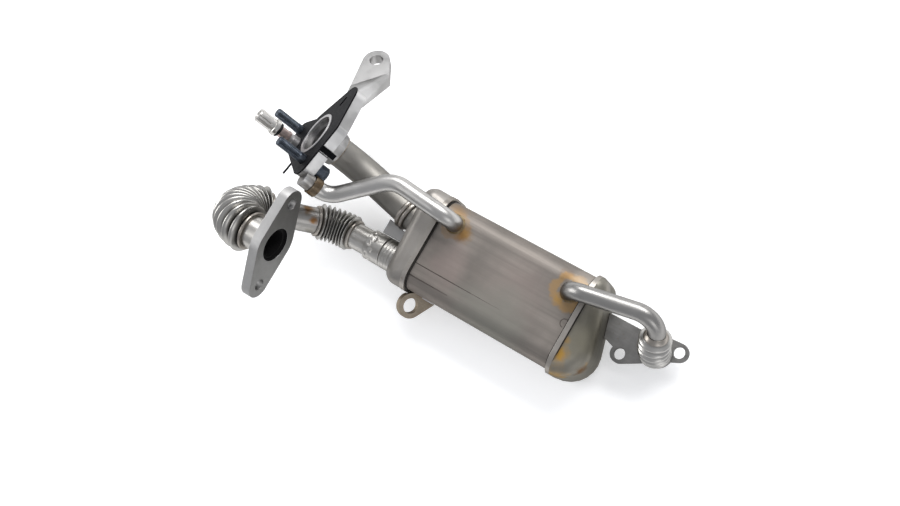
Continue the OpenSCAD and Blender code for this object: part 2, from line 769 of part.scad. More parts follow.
module outlet_flange() {
    gas_r = 15;
    screw_clear = 0.6;
    passage_r = 1.6;
    passage_n = -0.7 * flange_t;
    passage_over = 0.5;
    arm_inset = 0.4;
    lobe_wall = 1.2;
    lobe_step = 3.8;
    bore_up = 0.4;
    color("#c3c0bb") placed() difference() {
        union() {
            on_plate(-flange_t) linear_extrude(flange_t) flange_outline(0);
            on_plate(-flange_t - boss_len)
                cylinder(r1 = outlet_od / 2 + boss_wall, r2 = outlet_od / 2 + boss_foot, h = boss_len + cut);
            on_plate(-flange_t - lobe_back) translate(socket_e)
                cylinder(r = pipe_r - pipe_wall + lobe_wall, h = flange_t + lobe_back - lobe_step);
            hull() {
                on_plate(-flange_t + arm_inset) translate([arm_e.x, arm_e.y, 0])
                    cylinder(r = arm_r - 3 * arm_inset, h = flange_t - 2 * arm_inset, $fn = 32);
                for (p = ear_low) along(on_flange(p.x, p.y, p.z), -ear_axis)
                    cylinder(r = ear_corner_r, h = ear_t, $fn = 24);
            }
            hull() {
                along(on_flange(ear_e.x, ear_e.y, ear_e.z), -ear_axis)
                    cylinder(r = ear_r, h = ear_t, $fn = 48);
                for (p = ear_low) along(on_flange(p.x, p.y, p.z), -ear_axis)
                    cylinder(r = ear_corner_r, h = ear_t, $fn = 24);
            }
        }
        on_plate(-flange_t - boss_len - cut)
            cylinder(r = outlet_od / 2 - gas_wall, h = flange_t + boss_len + 2 * cut);
        on_plate(-flange_t - boss_len - cut) cylinder(r = outlet_od / 2 + braze_gap, h = seat_depth + cut);
        on_plate(-flange_t + 6) cylinder(r = gas_r, h = flange_t);
        on_plate(-flange_t) translate([clip_e - notch_w / 2, -near_edge - notch_depth, -cut])
            cube([notch_w, 2 * notch_depth, flange_t + 2 * cut]);
        for (s = [screw_a, screw_b])
            on_plate(-flange_t - cut) translate(s)
                cylinder(r = (screw_d + screw_clear) / 2, h = flange_t + 2 * cut);
        on_plate(passage_n - passage_r - passage_over) translate(spigot_e)
            cylinder(r = spigot_d / 2 - 1, h = flange_t);
        on_plate(-flange_t - lobe_back - cut) translate(socket_e)
            cylinder(r = pipe_r - pipe_wall, h = flange_t + lobe_back + passage_n + bore_up + cut);
        rod(
            on_flange(socket_e.x, socket_e.y, passage_n),
            on_flange(spigot_e.x, spigot_e.y, passage_n),
            passage_r
        );
        along(on_flange(ear_e.x, ear_e.y, ear_e.z) + cut * ear_axis, -ear_axis)
            cylinder(r = ear_hole / 2, h = ear_t + 2 * cut);
    }
}

module outlet_gasket() {
    slot = [9, 3];
    slot_at = [32.5, 0];
    tag = [12, 2];
    tag_at = [-41, 0.5];
    clip_drop = 14;
    clip_in = notch_depth - 1;
    color("#15161a") placed() {
        on_plate(0) difference() {
            union() {
                linear_extrude(gasket_t) difference() {
                    flange_outline(0.6);
                    circle((ring_d + ring_w) / 2 + braze_gap);
                    for (s = [screw_a, screw_b]) translate(s) circle(screw_d / 2 + pass_gap);
                    translate(spigot_e) circle(spigot_d / 2 - 1 + pass_gap);
                    translate(slot_at) round_rect(slot.x, slot.y, slot.y / 2 - 0.1);
                }
                translate([tag_at.x, tag_at.y, 0]) cube([tag.x, tag.y, gasket_t]);
                translate([clip_e - clip_w / 2, -near_edge + clip_in - gasket_t, -clip_drop])
                    cube([clip_w, gasket_t, clip_drop + gasket_t]);
            }
        }
    }
}

module gasket_ring() {
    color("#b9b7b3") placed() on_plate(0) ring((ring_d - ring_w) / 2, (ring_d + ring_w) / 2, ring_t);
}

module flange_screws() {
    head_h = 12;
    tip = 0.8;
    waist = 0.2;
    r = screw_d / 2;
    color("#2a2f38") placed() for (s = [screw_a, screw_b])
        on_plate(-flange_t - head_h) translate(s) {
            cylinder(d = screw_af / cos(30), h = head_h, $fn = 6);
            cylinder(r = r - waist, h = head_h + flange_t + screw_out - tip);
            translate([0, 0, head_h + flange_t + gasket_t + pass_gap])
                cylinder(r = r, h = screw_out - gasket_t - pass_gap - tip);
            translate([0, 0, head_h + flange_t + screw_out - tip]) cylinder(r1 = r, r2 = r - tip, h = tip);
        }
}

// Turned form of the spigot along its length: collar and seal groove
spigot_tip_len = 15;
spigot_collar_r = spigot_d / 2 + 1.2;
spigot_neck_r = spigot_d / 2 - 1;
spigot_collar = 4;
groove_w = 2.6;
groove_r = spigot_neck_r - 0.9;
groove_at = spigot_len - spigot_tip_len - spigot_collar - groove_w;

module coolant_spigot() {
    seat = 5;
    bore_r = 2.6;
    edge = 0.8;
    tip_r = spigot_d / 2;
    collar_n = spigot_len - spigot_tip_len;
    color("#bdb8ae") placed() on_plate(-seat) translate(spigot_e) rotate_extrude()
        polygon([
            [bore_r, 0], [spigot_neck_r - braze_gap, 0],
            [spigot_neck_r - braze_gap, seat + groove_at], [groove_r, seat + groove_at],
            [groove_r, seat + groove_at + groove_w], [spigot_neck_r, seat + groove_at + groove_w],
            [spigot_neck_r, seat + collar_n - spigot_collar],
            [spigot_collar_r, seat + collar_n - spigot_collar],
            [spigot_collar_r, seat + collar_n], [tip_r, seat + collar_n],
            [tip_r, seat + spigot_len - edge], [tip_r - edge, seat + spigot_len], [bore_r, seat + spigot_len]
        ]);
}

module spigot_seal() {
    cord_r = groove_w / 2 - 0.1;
    color("#101113") placed() on_plate(groove_at + groove_w / 2) translate(spigot_e) rotate_extrude()
        translate([groove_r + cord_r + 0.05, 0]) circle(cord_r, $fn = 32);
}

module pipe_socket() {
    color("#7d5a35") placed() along(socket_at - (socket_len + braze_gap) * flange_n, flange_n)
        ring(pipe_r + braze_gap, pipe_r + 1.2, socket_len);
}

module coolant_inlet_pipe() {
    color("#b4b1ab") placed() bent_tube(inlet_route, inlet_bends, pipe_od, pipe_wall);
}

module coolant_outlet_pipe() {
    color("#a9a6a0") placed() bent_tube(outlet_route, outlet_bends, pipe_od, pipe_wall);
}

module port_collars() {
    bead_out = 1.2;
    bead_h = 1.7;
    bead_low = 1;
    r_in = pipe_r + braze_gap;
    color("#8c6a45") placed() difference() {
        for (p = [port_in, port_out])
            translate([p.x, p.y, half_d - bead_low]) rotate_extrude()
                polygon([
                    [r_in, 0],
                    [r_in + bead_out, 0],
                    [r_in + bead_out, bead_low],
                    [r_in, bead_low + bead_h]
                ]);
        along_x(-half_len, half_len) shell_section(-weld_gap);
    }
}

module coolant_bellows() {
    color("#9d9993") placed() on_arc(drop_top, drop_dir, drop_n, drop_bend)
        bellows(drop_bend, drop_tilt, drop_root, drop_od / 2, bellows_wall, drop_waves, 18);
}

module bellows_seat() {
    seat_h = 2;
    color("#8f8b85") placed() along(drop_top + (drop_in - seat_h) * drop_dir, drop_dir)
        ring(pipe_r + braze_gap, drop_root - bellows_wall - pass_gap, seat_h);
}

module coolant_flange() {
    tab_low = 3;
    tab_top = 21;
    function cap_x(y) = plate_x + cap_mid - y * tan(cap_slope) + pass_gap / cos(cap_slope);
    port_r = pipe_r - pipe_wall;
    color("#4c4a48") placed() difference() {
        translate([0, 0, base_port.z]) linear_extrude(base_t) {
            translate([base_port.x, base_port.y] + base_boss_set) circle(base_boss_r, $fn = 48);
            hull() {
                translate([base_port.x, base_port.y] + 2 * base_boss_set) circle(base_boss_r - 3, $fn = 48);
                translate([base_hole_near.x, base_hole_near.y]) circle(base_ear_r, $fn = 32);
            }
            hull() {
                translate([base_port.x, base_port.y] + base_boss_set) circle(base_boss_r - 4, $fn = 48);
                translate([base_hole_far.x, base_hole_far.y]) circle(base_ear_r, $fn = 32);
            }
            polygon([
                [cap_x(tab_low), tab_low], [base_hole_far.x, base_hole_far.y],
                [base_port.x, base_port.y], [base_port.x - 6, base_port.y + base_boss_r - 3],
                [cap_x(tab_top), tab_top]
            ]);
        }
        translate([base_port.x, base_port.y, base_port.z - cut]) cylinder(r = port_r, h = base_t + 2 * cut);
        for (h = [base_hole_far, base_hole_near])
            translate([h.x, h.y, base_port.z - cut]) cylinder(r = base_hole / 2, h = base_t + 2 * cut);
    }
}

module mounting_lug() {
    lug_at = [-half_len + lug_inset, -half_w - lug_drop, 0];
    foot_in = 3;
    rim_clear = 0.4;
    color("#8d7a66") placed() difference() {
        framed(lug_at, [cos(lug_turn), 0, -sin(lug_turn)], [0, 1, 0], [sin(lug_turn), 0, cos(lug_turn)]) {
            difference() {
                translate([0, 0, -lug_t / 2]) linear_extrude(lug_t) hull() {
                    circle(lug_r, $fn = 48);
                    translate([foot_start, lug_drop - 1]) square([foot_len, foot_in + 1]);
                }
                translate([0, 0, -lug_t]) cylinder(r = lug_hole / 2, h = 2 * lug_t);
            }
        }
        translate([-plate_x - header_low, -half_w - rim_out - rim_clear, -half_d])
            cube([plate_t + header_low + rim_clear, shell_w, shell_d]);
        along_x(-half_len - plate_t, half_len) shell_section(-weld_gap);
    }
}

cooler_shell();
front_tube_plate();
rear_tube_plate();
gas_tubes();
gas_header();
header_divider();
turnaround_cap();
inlet_neck();
neck_adaptor();
neck_sleeve();
expansion_bellows();
link_tube();
bellows_elbow();
inlet_stub();
inlet_flange();
bellows_collars();
tube_web();
outlet_tube();
outlet_collar();
outlet_flange();
outlet_gasket();
gasket_ring();
flange_screws();
coolant_spigot();
spigot_seal();
pipe_socket();
coolant_inlet_pipe();
coolant_outlet_pipe();
port_collars();
coolant_bellows();
bellows_seat();
coolant_flange();
mounting_lug();
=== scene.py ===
# %% [markdown]
# # An exhaust gas cooler, dressed over its CAD frame
# The cooler is a flat stainless box with bent tubes, corrugated bellows and three flanges. Its solids
# come packed from CAD and never move here. This lesson gives them soft edges, finishes, round bellows,
# threads, weld beads and a photo studio.

# %% Load the frame
import json
import math
from collections import namedtuple

import bmesh
import bpy
from mathutils import Matrix, Vector


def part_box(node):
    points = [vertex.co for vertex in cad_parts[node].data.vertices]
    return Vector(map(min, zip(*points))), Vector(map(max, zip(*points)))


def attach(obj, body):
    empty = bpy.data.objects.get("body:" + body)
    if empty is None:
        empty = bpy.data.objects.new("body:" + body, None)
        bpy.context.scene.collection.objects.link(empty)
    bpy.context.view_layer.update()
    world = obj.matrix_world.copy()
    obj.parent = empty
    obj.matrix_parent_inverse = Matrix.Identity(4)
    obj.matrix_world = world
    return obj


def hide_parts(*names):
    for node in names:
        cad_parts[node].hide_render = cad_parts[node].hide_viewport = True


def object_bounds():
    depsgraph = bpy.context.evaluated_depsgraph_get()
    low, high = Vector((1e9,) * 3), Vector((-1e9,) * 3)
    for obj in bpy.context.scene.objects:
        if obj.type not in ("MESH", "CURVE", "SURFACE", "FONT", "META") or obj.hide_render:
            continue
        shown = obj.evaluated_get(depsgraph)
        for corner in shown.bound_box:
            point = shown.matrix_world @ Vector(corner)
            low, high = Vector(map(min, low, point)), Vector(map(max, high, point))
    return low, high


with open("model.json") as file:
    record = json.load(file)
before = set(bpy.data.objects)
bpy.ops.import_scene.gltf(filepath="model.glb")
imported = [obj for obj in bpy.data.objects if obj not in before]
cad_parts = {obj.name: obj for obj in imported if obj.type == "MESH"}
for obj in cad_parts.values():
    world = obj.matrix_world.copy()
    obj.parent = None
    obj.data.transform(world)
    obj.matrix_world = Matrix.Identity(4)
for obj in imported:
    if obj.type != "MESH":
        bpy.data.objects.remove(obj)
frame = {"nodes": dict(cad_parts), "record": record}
nodes = frame["nodes"]
cad_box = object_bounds()
print("CAD nodes:", len(nodes), "box:", [round(v, 4) for v in (*cad_box[0], *cad_box[1])])

# %% [markdown]
# ## Where things are
# The frame's origin lies between the bolt holes of the coolant flange, and places are written in
# millimetres from there. All of them could be typed in as numbers, but a piece made here has to stay on
# the solid that carries it. So most are read from the frame: from the boxes of its nodes and the mounts
# in its record.

# %% Places from the frame
MM = 0.001
ALONG = Vector((1, 0, 0))
ACROSS = Vector((0, 1, 0))
UPWARD = Vector((0, 0, 1))
mounts = {mount["name"]: mount for mount in frame["record"]["mounts"]}


def corners(node):
    """Lowest and highest corner of a node, in millimetres."""
    low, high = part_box(node)
    return low / MM, high / MM


def centre(node):
    low, high = corners(node)
    return (low + high) / 2


def mount_place(name):
    return Vector(mounts[name]["pos_m"]) / MM


shell_low, shell_high = corners("cooler_shell")
shell_mid = centre("cooler_shell")
neck_mid = centre("inlet_neck")
inlet_mid = mount_place("inlet_flange_bolts")
print("shell, mm:", [round(v, 1) for v in shell_high - shell_low])

# %% [markdown]
# ## Leaning branches
# The outlet flange leans, so points on it are given along three directions of its own: up its plate,
# across it and out of its face. The gas inlet branch bends in one plane, so it needs only the lean of
# that plane and an angle in it. Tilted empties as parents would do the same job, but vectors keep every
# point in the one frame.

# %% Directions of the branches
flange_roll = math.radians(12.6)
flange_out = Vector(mounts["outlet_flange_screws"]["axis"])
level_up = (ACROSS - flange_out.y * flange_out).normalized()
level_side = flange_out.cross(level_up)
flange_up = math.cos(flange_roll) * level_up - math.sin(flange_roll) * level_side
flange_side = flange_out.cross(flange_up)
gasket_ring_thick = 1.8
flange_mid = centre("gasket_ring") - flange_out * gasket_ring_thick / 2

branch_lean = math.radians(24.5)
branch_up = Vector((0, -math.sin(branch_lean), math.cos(branch_lean)))
bolt_tilt = math.radians(16)
bolt_way = Vector((0, -math.cos(bolt_tilt), -math.sin(bolt_tilt)))


def on_flange(up, across, out):
    return flange_mid + up * flange_up + across * flange_side + out * flange_out


def heading(angle):
    """Direction of the inlet branch after it has turned by an angle."""
    return -ALONG * math.cos(angle) + branch_up * math.sin(angle)


def turning(angle):
    """Direction towards which the inlet branch bends there."""
    return ALONG * math.sin(angle) + branch_up * math.cos(angle)


print("outlet flange faces", [round(v, 3) for v in flange_out])

# %% [markdown]
# ## Clean edges on the CAD pieces
# A mesh from CAD has a separate set of points for each face, so light breaks at every facet. Welding the
# points, joining the triangles of each flat face, rounding the sharp edges with a narrow bevel and
# smoothing the rest gives a pressed or machined look. Modifiers do this, and not edit mode, because they
# leave the CAD mesh as it came. Weighted normals let the large flat faces decide how light falls on them,
# and not the round corners beside them.

# %% Weld, bevel and smooth
WELD_REACH = 0.01 * MM
FLAT_ANGLE = math.radians(0.5)
BEVEL_ANGLE = math.radians(35)
PLAIN_EDGE = 0.3
PLAIN_SPLIT = 24
edge_widths = {
    "outlet_flange": 0.6, "inlet_flange": 0.5, "coolant_flange": 0.5, "mounting_lug": 0.5, "tube_web": 0.5,
    "front_tube_plate": 0.8, "rear_tube_plate": 0.8, "outlet_gasket": 0.15, "gas_tubes": 0,
    "header_divider": 0, "port_collars": 0, "spigot_seal": 0, "bellows_collars": 0, "bellows_seat": 0,
}
split_angles = {"outlet_flange": 16}


def split_edges(obj, angle):
    """Keeps the edges sharper than an angle, in degrees, apart, so that they stay crisp."""
    split = obj.modifiers.new("split", "EDGE_SPLIT")
    split.split_angle = math.radians(angle)
    split.use_edge_sharp = False


def soften(obj, edge_width, split_angle):
    mesh = obj.data
    if "custom_normal" in mesh.attributes:
        mesh.attributes.remove(mesh.attributes["custom_normal"])
    mesh.polygons.foreach_set("use_smooth", [True] * len(mesh.polygons))
    weld = obj.modifiers.new("weld", "WELD")
    weld.merge_threshold = WELD_REACH
    if edge_width:
        flats = obj.modifiers.new("flats", "DECIMATE")
        flats.decimate_type = "DISSOLVE"
        flats.angle_limit = FLAT_ANGLE
        bevel = obj.modifiers.new("bevel", "BEVEL")
        bevel.width = edge_width * MM
        bevel.segments = 2
        bevel.limit_method = "ANGLE"
        bevel.angle_limit = BEVEL_ANGLE
    split_edges(obj, split_angle)
    even = obj.modifiers.new("even", "WEIGHTED_NORMAL")
    even.weight = 50


for name, obj in nodes.items():
    soften(obj, edge_widths.get(name, PLAIN_EDGE), split_angles.get(name, PLAIN_SPLIT))
print("softened", len(nodes), "pieces")

# %% [markdown]
# ## Mixing materials
# A finish is mixed from a few kinds of shader node: noise, a change of range, a blend of two colours and
# plain arithmetic. They could be placed and linked by hand in the shader editor. A small helper does it
# here, because nearly thirty finishes share the same few steps.


# %% Shader mixer
class Mixer:
    """Adds shader nodes to one new material and links them."""

    def __init__(self, name):
        self.material = bpy.data.materials.new(name)
        self.material.use_nodes = True
        self.tree = self.material.node_tree
        self.link = self.tree.links.new

    def node(self, kind, **settings):
        made = self.tree.nodes.new(kind)
        for key, value in settings.items():
            setattr(made, key, value)
        return made

    def noise(self, source, scale, detail=4.0):
        made = self.node("ShaderNodeTexNoise")
        for key, amount in (("Scale", scale), ("Detail", detail), ("Roughness", 0.55)):
            made.inputs[key].default_value = amount
        self.link(source, made.inputs["Vector"])
        return made.outputs["Fac"]

    def spread(self, value, low, high, to_low=0.0, to_high=1.0, smooth=False):
        """Maps the range from low to high onto another range."""
        made = self.node("ShaderNodeMapRange", interpolation_type="SMOOTHSTEP" if smooth else "LINEAR")
        for key, amount in (("From Min", low), ("From Max", high), ("To Min", to_low), ("To Max", to_high)):
            made.inputs[key].default_value = amount
        self.link(value, made.inputs["Value"])
        return made.outputs["Result"]

    def blend(self, amount, first, second):
        """Goes from the first colour to the second; a colour is a tuple or a socket."""
        made = self.node("ShaderNodeMix", data_type="RGBA")
        self.link(amount, made.inputs["Factor"])
        for socket, value in ((made.inputs["A"], first), (made.inputs["B"], second)):
            if isinstance(value, tuple):
                socket.default_value = (*value, 1)
            else:
                self.link(value, socket)
        return made.outputs["Result"]

    def combine(self, operation, first, second):
        """Arithmetic on two values; a value is a number or a socket."""
        made = self.node("ShaderNodeMath", operation=operation, use_clamp=operation == "MULTIPLY")
        for socket, value in zip(made.inputs, (first, second)):
            if isinstance(value, (int, float)):
                socket.default_value = value
            else:
                self.link(value, socket)
        return made.outputs[0]


# %% [markdown]
# ## Stains, painted light and tones
# A stain is a patch of colour that fades from a spot with a ragged edge. It may have a clean middle, like
# the ring of colour round a weld. The same patches also carry painted light and shade: highlights on rounded
# corners, a paler part of a flange face and shade in bolt holes. A face tone gives the faces that look along
# one axis a colour of their own, as a machined flange face differs from its cast edge, and a groove tone is
# painted shade between the waves of a bellows. All of these could be painted on an unwrapped image. Worked
# out from distance, direction and height, they need no unwrapping and stay sharp at any size.

# %% Marks on a finish
RAGGED = 0.35
PATCHES = 1.6
StainOrLight = namedtuple("StainOrLight", "spot radius tint strength clean", defaults=(0,))


def stain_or_light(mix, where, colour, each_patch):
    reach = each_patch.radius * MM
    clean = each_patch.clean * MM
    apart = mix.node("ShaderNodeVectorMath", operation="DISTANCE")
    mix.link(where, apart.inputs[0])
    apart.inputs[1].default_value = Vector(each_patch.spot) * MM
    wobble = mix.spread(mix.noise(where, PATCHES / reach), 0.2, 0.8, -RAGGED * reach, RAGGED * reach)
    distance = mix.combine("ADD", apart.outputs["Value"], wobble)
    amount = mix.spread(distance, reach, 0.15 * reach + clean, 0.0, each_patch.strength, smooth=True)
    if clean:
        ring = mix.spread(distance, 0.7 * clean, clean, smooth=True)
        amount = mix.combine("MULTIPLY", amount, ring)
    return mix.blend(amount, colour, each_patch.tint)


def face_toned(mix, colour, axis, tone, strength):
    facing = mix.node("ShaderNodeVectorMath", operation="DOT_PRODUCT")
    mix.link(mix.node("ShaderNodeNewGeometry").outputs["True Normal"], facing.inputs[0])
    facing.inputs[1].default_value = axis
    turned_to = mix.combine("ABSOLUTE", facing.outputs["Value"], 0.0)
    return mix.blend(mix.spread(turned_to, 0.8, 0.95, 0.0, strength, smooth=True), colour, tone)


# Painted shade: darkens a bellows between its waves, where the crest height is low.
def groove_shaded(mix, colour, tone):
    crest = mix.node("ShaderNodeAttribute", attribute_name="crest").outputs["Fac"]
    return mix.blend(mix.spread(crest, 0.1, 0.65, 1.0, 0.0, smooth=True), colour, tone)


# %% [markdown]
# ## A metal finish
# Stainless sheet is never one grey. Drawing leaves fine streaks along it, handling leaves cloudy patches
# and brazing leaves colour where it was hottest. One maker of finishes mixes these from noise in the
# part's own coordinates: two greys by a cloud, then streaks in tone and roughness, then the marks and
# brown specks. A tiled picture of steel would show its seams, and noise has none.

# %% Finish maker
GRAIN_SCALE = 1400
SPECK_SCALE = 420
SPECK_BROWN = (0.16, 0.07, 0.02)
BUMP_DEPTH = 0.3 * MM


def finish(name, light, dark, rough, streak=(60, 900, 900), cloud=35, streaky=0.35, bump=0.06, metallic=1.0,
           shine=0.5, rim=0.4, face=None, groove=None, stains_and_light=(), speck=0.0):
    mix = Mixer(name)
    shader = mix.tree.nodes["Principled BSDF"]
    shader.inputs["Metallic"].default_value = metallic
    shader.inputs["Specular IOR Level"].default_value = shine
    shader.inputs["Specular Tint"].default_value = (rim, rim, rim, 1)

    where = mix.node("ShaderNodeTexCoord").outputs["Object"]
    stretched = mix.node("ShaderNodeMapping")
    stretched.inputs["Scale"].default_value = streak
    mix.link(where, stretched.inputs["Vector"])
    clouds = mix.noise(where, cloud)
    streaks = mix.noise(stretched.outputs["Vector"], 1.0, detail=3.0)
    grain = mix.noise(where, GRAIN_SCALE, detail=2.0)

    colour = mix.blend(mix.spread(clouds, 0.32, 0.68), dark, light)
    colour = mix.blend(mix.spread(streaks, 0.35, 0.68, 0.0, streaky), colour, dark)
    if face:
        colour = face_toned(mix, colour, *face)
    if groove:
        colour = groove_shaded(mix, colour, groove)
    for each_patch in stains_and_light:
        colour = stain_or_light(mix, where, colour, each_patch)
    if speck:
        specks = mix.spread(mix.noise(where, SPECK_SCALE, detail=2.0), 0.66, 0.74, 0.0, speck)
        colour = mix.blend(specks, colour, SPECK_BROWN)
    mix.link(colour, shader.inputs["Base Color"])

    rough_streaks = mix.spread(streaks, 0.25, 0.75, rough - 0.06, rough + 0.07)
    rough_clouds = mix.spread(clouds, 0.3, 0.7, -0.04, 0.05)
    mix.link(mix.combine("ADD", rough_streaks, rough_clouds), shader.inputs["Roughness"])

    height = mix.node("ShaderNodeBump")
    height.inputs["Strength"].default_value = bump
    height.inputs["Distance"].default_value = BUMP_DEPTH
    fine = mix.combine("MULTIPLY", grain, 0.5)
    mix.link(mix.combine("ADD", streaks, fine), height.inputs["Height"])
    mix.link(height.outputs["Normal"], shader.inputs["Normal"])
    return mix.material


def dress(material, *names):
    for name in names:
        mesh = nodes[name].data
        mesh.materials.clear()
        mesh.materials.append(material)
    print(material.name, "on", ", ".join(names))


# %% [markdown]
# ## Shell, header and cap
# Rolled and brazed sheet is a warm brown-grey. Orange heat tint lies beside one pipe port and in a ring
# round the other, mauve and olive clouds cross the broad face, and rust sits near the cap's rim. Pale
# patches on the rounded top edge by the cap are painted highlight, and the header's finish is a lighter copy
# of the cap's, as painted light. Each mark is one patch with a place and a reach, so that it can be moved or
# left out by itself.

# %% Finishes of the body
orange = (0.29, 0.165, 0.05)
pale_orange = (0.36, 0.215, 0.07)
brown = (0.15, 0.08, 0.03)
rust = (0.40, 0.23, 0.05)
mauve = (0.285, 0.23, 0.212)
olive = (0.225, 0.225, 0.197)
shell_steel = finish(
    "shell_steel", (0.295, 0.264, 0.238), (0.17, 0.155, 0.14), 0.54, streak=(6, 170, 170), cloud=24,
    streaky=0.75, bump=0.03, metallic=0.85, stains_and_light=[
        StainOrLight((-158.5, 9.5, 33), 8.5, orange, 0.85),
        StainOrLight((-160, 6, 33), 6, brown, 0.7),
        StainOrLight((-168.7, 13.2, 33), 12, orange, 0.3, clean=8),
        StainOrLight((-172, 24, 31), 12, orange, 0.4),
        StainOrLight((-65.2, 9.7, 33), 16.5, pale_orange, 0.6, clean=10),
        StainOrLight((-74, 20, 33), 8, brown, 0.45),
        StainOrLight((-70, 2.5, 33), 6, rust, 0.5),
        # Painted highlight: a paler patch on the rounded top edge by the cap.
        StainOrLight((-60, 26, 30), 14, (0.40, 0.36, 0.32), 0.5),
        StainOrLight((-159, -15, 33), 26, mauve, 0.5),
        StainOrLight((-106, -8, 33), 34, mauve, 0.4),
        StainOrLight((-110, -38, 33), 40, olive, 0.6),
    ])
dome_steel = finish(
    "dome_steel", (0.245, 0.232, 0.20), (0.18, 0.17, 0.145), 0.48, streak=(160, 20, 160), cloud=40,
    bump=0.03, metallic=0.85, stains_and_light=[
        StainOrLight((-48, -41, 24), 12, rust, 0.95),
        StainOrLight((-49.5, -32, 32), 9, rust, 0.95),
        StainOrLight((-50, -22, 33), 5, rust, 0.6),
        StainOrLight((-31, -36, 24), 8, brown, 0.85),
        StainOrLight((-27, -30, 27), 5, rust, 0.7),
        StainOrLight((-36, -12, 33), 26, (0.165, 0.152, 0.11), 0.6),
        # Painted highlight: a paler patch on the cap's rounded top corner.
        StainOrLight((-38, 22, 25), 13, (0.46, 0.43, 0.40), 0.6),
    ])
# A lighter copy of the cap's finish for the header: painted light on its face.
header_lit_steel = finish("header_lit_steel", (0.345, 0.327, 0.305), (0.26, 0.244, 0.225), 0.46,
                      streak=(160, 20, 160), cloud=40, bump=0.03, metallic=0.85)
rim_steel = finish("rim_steel", (0.40, 0.375, 0.345), (0.28, 0.26, 0.235), 0.40, streak=(300, 30, 30),
                   speck=0.3)
core_steel = finish("core_steel", (0.40, 0.38, 0.36), (0.2, 0.19, 0.18), 0.45)
lug_steel = finish("lug_steel", (0.38, 0.33, 0.265), (0.25, 0.205, 0.155), 0.40, cloud=90)

dress(shell_steel, "cooler_shell")
dress(dome_steel, "turnaround_cap")
dress(header_lit_steel, "gas_header")
dress(rim_steel, "front_tube_plate", "rear_tube_plate")
dress(core_steel, "gas_tubes", "header_divider", "bellows_seat")
dress(lug_steel, "mounting_lug")

# %% [markdown]
# ## Tubes, bellows and brazing
# Drawn tube is cleaner and brighter than the shell. The outlet tube is duller, the link tube has brown marks
# from the weld, and painted shade darkens the grooves of the bellows. The coolant outlet pipe has a darker
# copy of the inlet pipe's finish, as painted shade. Braze is yellow brown. One steel for all would be
# simpler, but the branches cross each other, and their different greys tell them apart.

# %% Finishes of the tubes
gas_black = (0.03, 0.03, 0.032)
tube_steel = finish("tube_steel", (0.54, 0.525, 0.50), (0.43, 0.415, 0.39), 0.34, streak=(40, 160, 160),
                    bump=0.02)
link_steel = finish(
    "link_steel", (0.36, 0.347, 0.33), (0.27, 0.26, 0.245), 0.36, streak=(40, 160, 160), bump=0.02, stains_and_light=[
        StainOrLight((-276, -37, 29), 4.5, (0.25, 0.12, 0.04), 0.95),
        StainOrLight((-284, -31, 31), 7, brown, 0.9),
        StainOrLight((-277, -45, 24), 6, (0.2, 0.19, 0.165), 0.8),
    ])
duct_steel = finish("duct_steel", (0.29, 0.278, 0.258), (0.22, 0.21, 0.192), 0.48, streak=(40, 40, 40),
                    bump=0.02, stains_and_light=[StainOrLight(on_flange(0, 0, -8), 18, gas_black, 1.0)])
pipe_steel = finish("pipe_steel", (0.48, 0.47, 0.455), (0.40, 0.39, 0.375), 0.34, streak=(25, 120, 120),
                    bump=0.015)
# A darker copy of the pipe finish for the coolant outlet pipe: painted shade.
pipe_shaded = finish("pipe_shaded", (0.34, 0.332, 0.32), (0.275, 0.268, 0.258), 0.36, streak=(25, 120, 120),
                   bump=0.015)
# The groove tones of the two bellows finishes are painted shade.
bellows_steel = finish("bellows_steel", (0.45, 0.44, 0.42), (0.36, 0.35, 0.33), 0.30, streak=(60, 60, 60),
                       bump=0.015, groove=(0.02, 0.019, 0.018))
fin_steel = finish("fin_steel", (0.50, 0.49, 0.47), (0.40, 0.39, 0.37), 0.32, streak=(60, 60, 60),
                   bump=0.015, groove=(0.30, 0.293, 0.278))
collar_steel = finish("collar_steel", (0.42, 0.395, 0.365), (0.28, 0.255, 0.225), 0.36, speck=0.25)
port_braze = finish("port_braze", (0.42, 0.35, 0.22), (0.20, 0.14, 0.075), 0.40, cloud=200)
braze_metal = finish("braze_metal", (0.19, 0.155, 0.115), (0.075, 0.047, 0.024), 0.42, cloud=150)

dress(tube_steel, "inlet_neck", "neck_adaptor", "neck_sleeve", "inlet_stub")
dress(link_steel, "link_tube")
dress(duct_steel, "outlet_tube")
dress(pipe_steel, "coolant_inlet_pipe")
dress(pipe_shaded, "coolant_outlet_pipe")
dress(bellows_steel, "bellows_elbow")
dress(fin_steel, "expansion_bellows", "coolant_bellows")
dress(collar_steel, "bellows_collars", "outlet_collar")
dress(port_braze, "port_collars")
dress(braze_metal, "pipe_socket")

# %% [markdown]
# ## Flanges and small parts
# The inlet flange has a dark milled face and a pale edge, with painted shade in its bolt holes and painted
# light on the lower part of its face. The outlet flange is pale, and paler still on the side faces of its
# plate and on the arm, and the coolant flange is dark. The tube web wears the pale flange finish as painted
# light. The gasket is black and the screws are blue black. The bare spigot is bright, with a copper coloured
# neck. Face and edge of a flange could be two materials, given face by face. A tone that follows the
# direction of a face needs only one.

